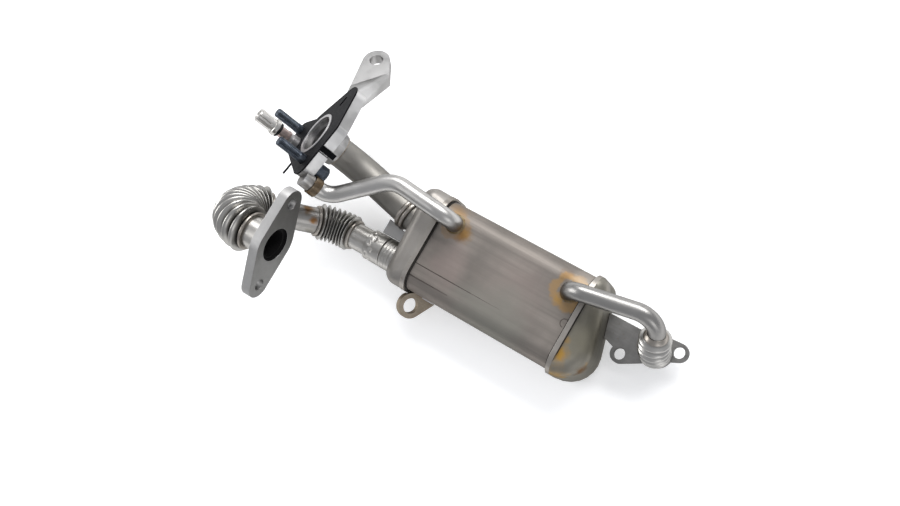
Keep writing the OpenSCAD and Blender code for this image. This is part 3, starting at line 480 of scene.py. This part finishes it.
# %% Finishes of the flanges
hole_shade = (0.03, 0.03, 0.03)
bolt_reach = mounts["inlet_flange_bolts"]["dims"]["pcd_mm"] / 2
flange_steel = finish(
    "flange_steel", (0.46, 0.455, 0.45), (0.36, 0.355, 0.35), 0.5, streak=(200, 200, 200), bump=0.08,
    face=(ALONG, (0.148, 0.146, 0.139), 0.94), stains_and_light=[
        # Painted shade inside the two bolt holes.
        StainOrLight(inlet_mid + bolt_way * bolt_reach - ALONG * 4, 7.5, hole_shade, 1.0),
        StainOrLight(inlet_mid - bolt_way * bolt_reach - ALONG * 4, 7.5, hole_shade, 1.0),
        # Painted light: a paler patch over the lower part of the milled face.
        StainOrLight(inlet_mid + bolt_way * 30, 46, (0.31, 0.308, 0.30), 0.5),
    ])
cast_pale = finish(
    "cast_pale", (0.41, 0.405, 0.40), (0.32, 0.315, 0.31), 0.42, streak=(120, 120, 120), cloud=60, bump=0.06,
    face=(flange_side, (0.55, 0.545, 0.54), 0.85), stains_and_light=[
        StainOrLight(on_flange(46, -8, -5), 25, (0.56, 0.555, 0.55), 0.8),
        StainOrLight(on_flange(0, 0, -19), 17, (0.20, 0.193, 0.18), 0.9),
        StainOrLight((-277.5, -14.3, 56), 17, (0.15, 0.133, 0.115), 0.9),
        StainOrLight(on_flange(0, 0, -9), 21, (0.065, 0.065, 0.068), 1.0),
    ])
base_steel = finish(
    "base_steel", (0.29, 0.285, 0.275), (0.20, 0.195, 0.188), 0.42, cloud=70, speck=0.3, stains_and_light=[
        StainOrLight((-7, 1, 8), 5, brown, 0.8),
        StainOrLight((-22, -6, 8), 4, (0.30, 0.28, 0.26), 0.7),
    ])
gasket_black = finish("gasket_black", (0.007, 0.007, 0.008), (0.003, 0.003, 0.004), 0.6, cloud=90,
                      metallic=0.0, shine=0.06, rim=1.0)
ring_steel = finish("ring_steel", (0.60, 0.59, 0.59), (0.48, 0.47, 0.47), 0.38)
screw_blue = finish("screw_blue", (0.115, 0.132, 0.155), (0.04, 0.048, 0.062), 0.36, cloud=300,
                    metallic=0.85)
spigot_steel = finish("spigot_steel", (0.66, 0.645, 0.62), (0.54, 0.525, 0.50), 0.34, cloud=200, bump=0.01)
spigot_copper = finish("spigot_copper", (0.46, 0.38, 0.355), (0.36, 0.29, 0.27), 0.32, cloud=200, bump=0.01)
seal_rubber = finish("seal_rubber", (0.012, 0.012, 0.012), (0.006, 0.006, 0.006), 0.55, metallic=0.0,
                     shine=0.2, rim=1.0)

dress(flange_steel, "inlet_flange")
# The web wears the pale flange finish as painted light that lifts it out of its shade.
dress(cast_pale, "outlet_flange", "tube_web")
dress(base_steel, "coolant_flange")
dress(gasket_black, "outlet_gasket")
dress(ring_steel, "gasket_ring")
dress(screw_blue, "flange_screws")
dress(spigot_steel, "coolant_spigot")
dress(seal_rubber, "spigot_seal")

# %% [markdown]
# ## Skins from rings
# Bellows, screws, spigot and beads are all rings of points joined into a skin. One helper joins them, closes
# the ends or the loop, parents the piece to an empty for the root body and hides the CAD piece it replaces.
# Two more make the rings: a plain circle, and the rings of a form that was turned on a lathe. A screw
# modifier or a bevelled curve could make some of these forms, but not a radius that changes both along the
# form and round it, as threads, flutes and dents need.


# %% Ring skin
def skin(name, rings, materials, replaces=None, loop=False, bands=None, split_angle=None, crest=None):
    """rings: lists of points in millimetres; bands and crest: a material and a height for each ring."""
    mesh = bmesh.new()
    made = [[mesh.verts.new(point * MM) for point in ring] for ring in rings]
    pairs = list(zip(made, made[1:] + made[:1] if loop else made[1:]))
    for number, (first, second) in enumerate(pairs):
        for j in range(len(first)):
            k = (j + 1) % len(first)
            face = mesh.faces.new((first[j], first[k], second[k], second[j]))
            face.material_index = bands[number] if bands else 0
    if not loop:
        mesh.faces.new(list(reversed(made[0])))
        mesh.faces.new(made[-1])
    bmesh.ops.recalc_face_normals(mesh, faces=mesh.faces)
    data = bpy.data.meshes.new(name)
    mesh.to_mesh(data)
    mesh.free()
    data.polygons.foreach_set("use_smooth", [True] * len(data.polygons))
    if crest:
        heights = data.attributes.new("crest", "FLOAT", "POINT")
        heights.data.foreach_set("value", [height for height, ring in zip(crest, rings) for point in ring])
    for material in materials:
        data.materials.append(material)
    piece = bpy.data.objects.new(name, data)
    bpy.context.scene.collection.objects.link(piece)
    if split_angle:
        split_edges(piece, split_angle)
    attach(piece, "root")
    if replaces:
        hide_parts(replaces)
    print(name, "faces:", len(data.polygons))


def circle(middle, side, other, radius, count):
    """Points round a middle, in the plane of two directions."""
    angles = [2 * math.pi * j / count for j in range(count)]
    return [middle + (side * math.cos(angle) + other * math.sin(angle)) * radius for angle in angles]


def across(axis):
    """Two directions at right angles to an axis."""
    side = axis.cross(UPWARD if abs(axis.z) < 0.9 else ALONG).normalized()
    return side, axis.cross(side)


def turned(start, axis, profile, sides=64, shape=None):
    """Rings of a turned form; profile holds (radius, distance) and shape may change a radius by angle."""
    side, other = across(axis)
    rings = []
    for radius, along in profile:
        ring = []
        for j in range(sides):
            angle = 2 * math.pi * j / sides
            r = shape(angle, radius, along) if shape else radius
            ring.append(start + axis * along + (side * math.cos(angle) + other * math.sin(angle)) * r)
        rings.append(ring)
    return rings


# %% [markdown]
# ## Bellows
# A bellows is a thin tube pressed into waves. The CAD solid has four rings of points for each wave.
# Subdividing it would round the waves but also shrink them, so the same arc is swept again with many more
# rings. The power on the wave sets its form: below one it gives broad ridges and narrow grooves, above
# one it would give thin fins.

# %% Sweep a bellows
WAVE_STEPS = 14
BELLOWS_SIDES = 72
BELLOWS_WALL = 0.6


def bellows(name, node, start, head, toward, bend, turn, root, crest, waves, fatness):
    """An arc of bend radius and turn angle; root and crest are the radii of groove and ridge."""
    middle = start + toward * bend
    lift = head.cross(toward)
    total = waves * WAVE_STEPS
    swells = [(0.5 - 0.5 * math.cos(2 * math.pi * i / WAVE_STEPS)) ** fatness for i in range(total + 1)]
    rings = []
    for wall, order in ((0, range(total + 1)), (BELLOWS_WALL, range(total, -1, -1))):
        for i in order:
            radius = root + (crest - root) * swells[i] - wall
            angle = turn * i / total
            outward = head * math.sin(angle) - toward * math.cos(angle)
            rings.append(circle(middle + outward * bend, outward, lift, radius, BELLOWS_SIDES))
    heights = swells + [0.0] * (total + 1)
    skin(name, rings, [nodes[node].data.materials[0]], node, loop=True, crest=heights)


joint_turn = math.radians(48)
joint_length = 30
joint_bend = joint_length / joint_turn
joint_start = Vector((corners("expansion_bellows")[1].x, neck_mid.y, neck_mid.z))
joint_end = joint_start + joint_bend * (turning(0) - turning(joint_turn))
link_length = 43
elbow_start = joint_end + link_length * heading(joint_turn)
elbow_bend = 26.5
elbow_turn = math.pi - joint_turn
bellows("elbow_waves", "bellows_elbow", elbow_start, heading(joint_turn), turning(joint_turn), elbow_bend,
        elbow_turn, root=13.6, crest=19, waves=12, fatness=0.75)
bellows("joint_waves", "expansion_bellows", joint_start, heading(0), turning(0), joint_bend, joint_turn,
        root=11.2, crest=14.6, waves=8, fatness=0.65)

# %% [markdown]
# ## Coolant bellows
# The small bellows under the right pipe starts in line with the pipe's end and bends until it stands
# upright on the coolant flange. It is the same sweep with other sizes. A rolled cuff closes its top on
# the pipe, as a ring of its own, because it is turned and has no waves.

# %% Sweep the coolant bellows
drop_tilt = math.radians(35)
drop_bend = 47
drop_way = Vector((0, -math.sin(drop_tilt), -math.cos(drop_tilt)))
drop_side = Vector((0, math.cos(drop_tilt), -math.sin(drop_tilt)))
coolant_port_y = 2.485
coolant_port = Vector((centre("coolant_bellows").x, coolant_port_y, corners("coolant_flange")[1].z))
drop_top = coolant_port + drop_bend * (math.sin(drop_tilt) * UPWARD + (1 - math.cos(drop_tilt)) * ACROSS)
bellows("drop_waves", "coolant_bellows", drop_top, drop_way, drop_side, drop_bend, drop_tilt,
        root=8.5, crest=12, waves=5, fatness=0.7)
cuff_profile = [(6.6, -3.4), (7.1, -3.1), (8.6, -0.8), (9.1, 0), (8.6, 0.9), (6.6, 0.9)]
skin("drop_cuff", turned(drop_top, drop_way, cuff_profile), [collar_steel], loop=True)

# %% [markdown]
# ## Flange screws
# A flange screw has a hexagon head, a plain neck in the plate and a rolled thread. The thread is a radius
# that rises and falls along the screw and slides round by one pitch each turn. Bump in a material would
# be quicker, but the screw's outline would stay smooth, and it shows against the white table. Distances
# run from the end of the head.

# %% Threads
PITCH = 1.25
THREAD_STEP = PITCH / 8
THREAD_DEPTH = 0.62
THREAD_START = 26.5
THREAD_END = 46.4
SCREW_R = mounts["outlet_flange_screws"]["dims"]["stud_r_mm"]
NECK_R = 3.8
HEAD_LENGTH = 12.0
HEAD_HALF = 5.5
HEAD_CORNER = 6.35
head_back = -21
screw_places = ((-10.5, 39), (-19.8, -18.5))


def thread(angle, radius, along):
    if along < THREAD_START or radius <= NECK_R:
        return radius
    phase = (along / PITCH - angle / (2 * math.pi)) % 1
    return radius - THREAD_DEPTH * abs(2 * phase - 1) * min(1, (along - THREAD_START) / PITCH)


def screw_form(angle, radius, along):
    if along > HEAD_LENGTH or radius <= NECK_R:
        return thread(angle, radius, along)
    return min(radius, HEAD_HALF / math.cos((angle % (math.pi / 3)) - math.pi / 6))


thread_rows = int((THREAD_END - THREAD_START) / THREAD_STEP)
screw_profile = [(5.2, 0), (HEAD_CORNER, 0.8), (HEAD_CORNER, 11.6), (5.8, HEAD_LENGTH)]
screw_profile += [(NECK_R, HEAD_LENGTH), (NECK_R, 22.4), (SCREW_R, 22.6), (SCREW_R, 26.4)]
screw_profile += [(SCREW_R, THREAD_START + THREAD_STEP * (i + 1)) for i in range(thread_rows)]
screw_profile += [(3.5, 46.6), (3.2, 47.0)]
for number, (up, side) in enumerate(screw_places):
    rings = turned(on_flange(up, side, head_back), flange_out, screw_profile, 48, screw_form)
    skin("screw_%d" % (number + 1), rings, [screw_blue], "flange_screws", split_angle=40)

# %% [markdown]
# ## Coolant spigot
# The spigot is turned from bar. A plug-in hose snaps over its collar, the seal ring sits in a groove
# behind that, and its tip has shallow flutes. One profile makes all of it, and the metal changes with the
# distance, because a turned piece has no joint between its steps. Distances run from its seat in the
# flange.

# %% Spigot with flutes
FLUTES = 8
FLUTE_SHARE = 0.2
FLUTE_DEPTH = 0.6
FLUTE_START = 32
FLUTE_END = 44.4
FLUTE_FADE = 1.5
TIP_R = mounts["coolant_spigot_tip"]["dims"]["r_mm"]
RINGED_END = 12
COPPER_END = 23
spigot_seat = on_flange(-19.2, 24.1, -5)


def flutes(angle, radius, along):
    if not FLUTE_START <= along <= FLUTE_END or radius < TIP_R:
        return radius
    phase = min(FLUTES * angle / (2 * math.pi) % 1, FLUTE_SHARE)
    depth = FLUTE_DEPTH * max(0, math.sin(math.pi * phase / FLUTE_SHARE))
    return radius - depth * min(1, (along - FLUTE_START) / FLUTE_FADE)


spigot_outside = [
    (4.5, 0), (4.5, 6.2), (5.3, 6.3), (5.3, 11.5), (4.5, 11.8), (4.5, 14.2), (5.0, 14.4), (5.0, 16.4),
    (4.5, 16.7), (4.5, 23.4), (3.6, 23.4), (3.6, 26), (6.3, 26), (6.7, 26.5), (6.7, 29.6), (6.2, 30),
    (TIP_R, 30), (TIP_R, FLUTE_START),
]
spigot_outside += [(TIP_R, 32.2 + 0.5 * i) for i in range(25)] + [(5.0, 45)]
spigot_bore = [(3.2, 45), (3.0, 44.6), (3.0, 12), (2.9, 12)]
bands = [2 if along < RINGED_END else 1 if along < COPPER_END else 0 for radius, along in spigot_outside]
bands += [0] * (len(spigot_bore) - 1)
skin("spigot_turned", turned(spigot_seat, flange_out, spigot_outside + spigot_bore, 160, flutes),
     [spigot_steel, spigot_copper, ring_steel], "coolant_spigot", bands=bands, split_angle=35)

# %% [markdown]
# ## Crimped sleeve
# The sleeve on the inlet neck is pressed on by a ring of jaws. Each jaw leaves a round dent, so the
# sleeve's radius dips round two rows of marks, the second half a step round from the first. Dents cut out
# with spheres would have sharp rims, and a smooth dip looks pressed.

# %% Dents in the sleeve
SLEEVE_R = 12.3
SLEEVE_LENGTH = 15
SLEEVE_BORE = 10.6
DENTS = 8
DENT_DEPTH = 0.9
DENT_TURN = 0.16
DENT_LENGTH = 1.1
dent_rows = ((8.5, 0.0), (11.8, 0.5))
sleeve_start = Vector((corners("neck_sleeve")[1].x, neck_mid.y, neck_mid.z))


def dents(angle, radius, along):
    if radius < SLEEVE_R:
        return radius
    dip = 0.0
    for row, shift in dent_rows:
        off_turn = (angle / (2 * math.pi) * DENTS + shift) % 1 - 0.5
        off_row = along - row
        dip = max(dip, math.exp(-(off_turn / DENT_TURN) ** 2 - (off_row / DENT_LENGTH) ** 2))
    return radius - DENT_DEPTH * dip


sleeve_profile = [(SLEEVE_BORE, 0), (11.8, 0), (SLEEVE_R, 0.5)]
sleeve_profile += [(SLEEVE_R, 1 + 0.4 * i) for i in range(34)]
sleeve_profile += [(SLEEVE_R, SLEEVE_LENGTH - 0.5), (11.8, SLEEVE_LENGTH), (SLEEVE_BORE, SLEEVE_LENGTH)]
skin("sleeve_crimped", turned(sleeve_start, -ALONG, sleeve_profile, 128, dents), [tube_steel],
     "neck_sleeve", loop=True, split_angle=40)

# %% [markdown]
# ## Weld beads
# A hand weld is a row of small overlapping puddles. A bead here is a ring or a line whose thickness
# swells with each puddle. A bevelled curve would give an even cord, which looks more like a seal. Beads
# join the stub to its flange, the outlet tube to its boss, the neck to the header and the lug's foot to
# the shell.

# %% Beads
BEAD_SIDES = 10
PUDDLE_STEPS = 6
RING_PUDDLE = 0.16
RING_UNEVEN = 0.06
LINE_PUDDLE = 0.14
LINE_TIP = 0.15
bead_metal = finish("bead_metal", (0.36, 0.325, 0.275), (0.19, 0.155, 0.12), 0.38, cloud=260)


def ring_bead(name, middle, axis, radius, thick, puddles):
    side, other = across(axis)
    rings = []
    for i in range(puddles * PUDDLE_STEPS):
        angle = 2 * math.pi * i / (puddles * PUDDLE_STEPS)
        out = side * math.cos(angle) + other * math.sin(angle)
        swell = thick * (1 + RING_PUDDLE * math.sin(puddles * angle) + RING_UNEVEN * math.sin(7 * angle))
        rings.append(circle(middle + out * radius, out, axis, swell, BEAD_SIDES))
    skin(name, rings, [bead_metal], loop=True)


def line_bead(name, first, last, thick, puddles, material, fade=0.0):
    side, other = across((last - first).normalized())
    rings = []
    for i in range(puddles * PUDDLE_STEPS + 1):
        along = i / (puddles * PUDDLE_STEPS)
        puddle = 1 + LINE_PUDDLE * math.sin(2 * math.pi * puddles * along)
        taper = max(LINE_TIP, math.sin(math.pi * along)) ** 0.3
        swell = thick * puddle * taper * (1 - fade * along)
        rings.append(circle(first + (last - first) * along, side, other, swell, BEAD_SIDES))
    skin(name, rings, [material])


stub_weld = inlet_mid - ALONG * 8.2
boss_weld = on_flange(0, 0, -21.2)
neck_weld = Vector((corners("neck_adaptor")[1].x + 0.7, neck_mid.y, neck_mid.z))
ring_bead("stub_bead", stub_weld, ALONG, radius=12.9, thick=1.2, puddles=26)
ring_bead("boss_bead", boss_weld, -flange_out, radius=12.5, thick=0.9, puddles=30)
ring_bead("neck_bead", neck_weld, ALONG, radius=10.9, thick=1.0, puddles=24)

lug_out = Vector(mounts["lug_hole"]["axis"])
lug_way = Vector((lug_out.z, 0, -lug_out.x))
lug_hole = mount_place("lug_hole")
lug_foot = Vector((lug_hole.x, shell_low.y - 0.07, lug_hole.z))
lug_face = 2.3
lug_bead_from = 5
lug_bead_to = 16.5
for number, face in enumerate((lug_face, -lug_face)):
    edge = lug_foot + lug_out * face
    line_bead("lug_bead_%d" % (number + 1), edge + lug_way * lug_bead_from, edge + lug_way * lug_bead_to,
              thick=0.9, puddles=8, material=ring_steel)

# %% [markdown]
# ## Creases on the broad face
# Two long creases start at the header and fade along the broad face, like fold lines in the sheet. They
# could be cut into the shell, but the CAD mesh stays as it came. So each is a thin dark cord, more than half
# sunk into the sheet, that gets thinner to its end, and its dark colour is painted shade in the fold.

# %% Creases
# Painted shade: the dark colour of the creases and of the half-round mark.
crease_dark = finish("crease_dark", (0.115, 0.10, 0.088), (0.08, 0.07, 0.062), 0.5)
crease_start = shell_low.x + 0.16
crease_z = shell_high.z - 0.13
creases = ((-26.4, -100, 0.5), (-36.4, -146, 0.45))
for number, (y, end, thick) in enumerate(creases):
    line_bead("crease_%d" % (number + 1), Vector((crease_start, y, crease_z)), Vector((end, y, crease_z)),
              thick, puddles=1, material=crease_dark, fade=0.6)

# %% [markdown]
# ## Brazed seams
# Each tube plate is brazed between the shell and an end piece, and painted shade draws a dark line on both
# sides of its rim, in the corner where the rim's step meets the sheet. A stain would darken the rim as well.
# So a thin cord lies in the corner and follows the shell's section: four straight sides and four round
# corners.

# %% Dark lines beside the rims
SHELL_CORNER = 14
CORNER_STEPS = 12
SEAM_SIDES = 8
SEAM_THICK = 0.95
SEAM_OUT = 0.25
# Painted shade: the dark line beside each rim.
seam_shade = finish("seam_shade", (0.035, 0.032, 0.028), (0.018, 0.016, 0.014), 0.7, metallic=0.0, shine=0.15,
                   rim=1.0)
half_width = (shell_high.y - shell_low.y) / 2
half_depth = (shell_high.z - shell_low.z) / 2


def seam(name, x):
    rings = []
    for corner, (sign_y, sign_z) in enumerate(((1, 1), (-1, 1), (-1, -1), (1, -1))):
        corner_mid = Vector((x, shell_mid.y + sign_y * (half_width - SHELL_CORNER),
                             shell_mid.z + sign_z * (half_depth - SHELL_CORNER)))
        for i in range(CORNER_STEPS + 1):
            angle = math.radians(90 * corner + 90 * i / CORNER_STEPS)
            out = ACROSS * math.cos(angle) + UPWARD * math.sin(angle)
            rings.append(circle(corner_mid + out * SHELL_CORNER, out, ALONG, SEAM_THICK, SEAM_SIDES))
    skin(name, rings, [seam_shade], loop=True)


front_low, front_high = corners("front_tube_plate")
rear_low, rear_high = corners("rear_tube_plate")
seam("seam_1", front_low.x - SEAM_OUT)
seam("seam_2", front_high.x + SEAM_OUT)
seam("seam_3", rear_low.x - SEAM_OUT)
seam("seam_4", rear_high.x + SEAM_OUT)

# %% [markdown]
# ## Half-round mark
# The broad face has a half-round mark beside the rim at the cap's end, like the print of a tool. It is made
# like the creases, as a thin cord that is bent to an arc and sunk most of the way into the sheet, and its
# dark colour is painted shade in the print.

# %% Mark on the shell
MARK_SIDES = 8
MARK_STEPS = 24
MARK_THICK = 0.35
mark_mid = Vector((-57.5, -12, crease_z))
mark_r = 3.2
mark_from = 70
mark_sweep = 200
mark_rings = []
for i in range(MARK_STEPS + 1):
    angle = math.radians(mark_from + mark_sweep * i / MARK_STEPS)
    out = ALONG * math.cos(angle) + ACROSS * math.sin(angle)
    mark_rings.append(circle(mark_mid + out * mark_r, out, UPWARD, MARK_THICK, MARK_SIDES))
skin("half_mark", mark_rings, [crease_dark])

# %% [markdown]
# ## Soot
# Exhaust gas leaves soot in the inlet stub, so its bore is black. A black finish on the stub would
# blacken its outside too, so a thin lining shows the soot, with a wider step at the flange's face.

# %% Line the inlet
soot = finish("soot", (0.012, 0.011, 0.011), (0.005, 0.005, 0.005), 0.8, metallic=0.0, shine=0.1, rim=1.0)
soot_profile = [(13.25, 0.3), (13.25, 2.95), (10.95, 2.95), (10.95, 25)]
soot_profile += [(10.7, 25), (10.7, 2.7), (13.0, 2.7), (13.0, 0.3)]
skin("soot_lining", turned(inlet_mid, -ALONG, soot_profile), [soot], loop=True, split_angle=40)

# %% [markdown]
# ## Table
# The cooler lies on a white table and is seen from above, so the table fills the picture. A faint glow,
# seen only by the camera and in mirrors, lifts the table to white and keeps the shadow under the part.
# More light would whiten it too, but would wash out the steel.

# %% White table
TABLE_HALF = 18.0
TABLE_TONE = 0.86
TABLE_GLOW = 0.36
table_z = cad_box[0].z
table_corners = [(TABLE_HALF * x, TABLE_HALF * y, table_z) for x, y in ((-1, -1), (1, -1), (1, 1), (-1, 1))]
table_mesh = bpy.data.meshes.new("table")
table_mesh.from_pydata(table_corners, [], [(0, 1, 2, 3)])
table = bpy.data.objects.new("table", table_mesh)
bpy.context.scene.collection.objects.link(table)

mix = Mixer("table_white")
mix.tree.nodes.clear()
matt = mix.node("ShaderNodeBsdfDiffuse")
matt.inputs["Color"].default_value = (TABLE_TONE, TABLE_TONE, TABLE_TONE, 1)
glow = mix.node("ShaderNodeEmission")
glow.inputs["Color"].default_value = (1, 1, 1, 1)
ray = mix.node("ShaderNodeLightPath").outputs
mirrored = mix.combine("MAXIMUM", ray["Is Glossy Ray"], ray["Is Transmission Ray"])
seen = mix.combine("MAXIMUM", ray["Is Camera Ray"], mirrored)
mix.link(mix.combine("MULTIPLY", seen, TABLE_GLOW), glow.inputs["Strength"])
both = mix.node("ShaderNodeAddShader")
mix.link(matt.outputs[0], both.inputs[0])
mix.link(glow.outputs[0], both.inputs[1])
mix.link(both.outputs[0], mix.node("ShaderNodeOutputMaterial").inputs["Surface"])
table_mesh.materials.append(mix.material)
print("table at", round(table_z, 4))

# %% [markdown]
# ## Lamps and world
# A wide soft lamp beyond the far side draws one long highlight along the top of each tube and stays out
# of the mirror direction of the broad face. Two weaker ones from the left and the right open the shadows.
# Small lamps would leave hard spots on so many round tubes.


# %% Set the lamps
def lamp(name, offset, size, power):
    where = part_mid + Vector(offset)
    light = bpy.data.lights.new(name, "AREA")
    light.shape = "RECTANGLE"
    light.size, light.size_y = size
    light.energy = power
    made = bpy.data.objects.new(name, light)
    made.location = where
    made.rotation_mode = "QUATERNION"
    made.rotation_quaternion = (part_mid - where).to_track_quat("-Z", "Y")
    bpy.context.scene.collection.objects.link(made)
    print(name, "lamp:", power, "W")


part_mid = (cad_box[0] + cad_box[1]) / 2
lamp("key", (-0.1, 1.0, 0.9), size=(1.5, 0.6), power=21)
lamp("fill", (-1.1, -0.35, 0.7), size=(0.7, 0.7), power=8)
lamp("side", (1.1, -0.5, 0.6), size=(0.6, 0.6), power=2)
world = bpy.data.worlds.new("studio")
bpy.context.scene.world = world
world.use_nodes = True
sky = world.node_tree.nodes["Background"]
sky.inputs["Color"].default_value = (0.93, 0.95, 1.0, 1)
sky.inputs["Strength"].default_value = 0.55

# %% [markdown]
# ## Camera
# The photo looks down on the broad face with the body running to the lower right. The camera's three axes
# were worked out from the directions of the body's edges, and its lens from how much they converge. A
# camera placed by eye would come close, but the outline couldn't be compared.

# %% Set the camera
camera = bpy.data.cameras.new("camera")
camera.lens = 49.2
camera.sensor_width = 36
camera.clip_start, camera.clip_end = 0.01, 60
viewer = bpy.data.objects.new("camera", camera)
bpy.context.scene.collection.objects.link(viewer)
right = Vector((0.8106, 0.4996, -0.3057)).normalized()
up = Vector((-0.4502, 0.8653, 0.2203)).normalized()
back = Vector((0.3746, -0.041, 0.9263)).normalized()
seat = Vector((182.739, -45.331, 882.532)) * MM
viewer.matrix_world = Matrix.Translation(seat) @ Matrix((right, up, back)).transposed().to_4x4()
bpy.context.scene.camera = viewer
bpy.context.scene.view_settings.view_transform = "Standard"
print("camera at", [round(v, 3) for v in seat])
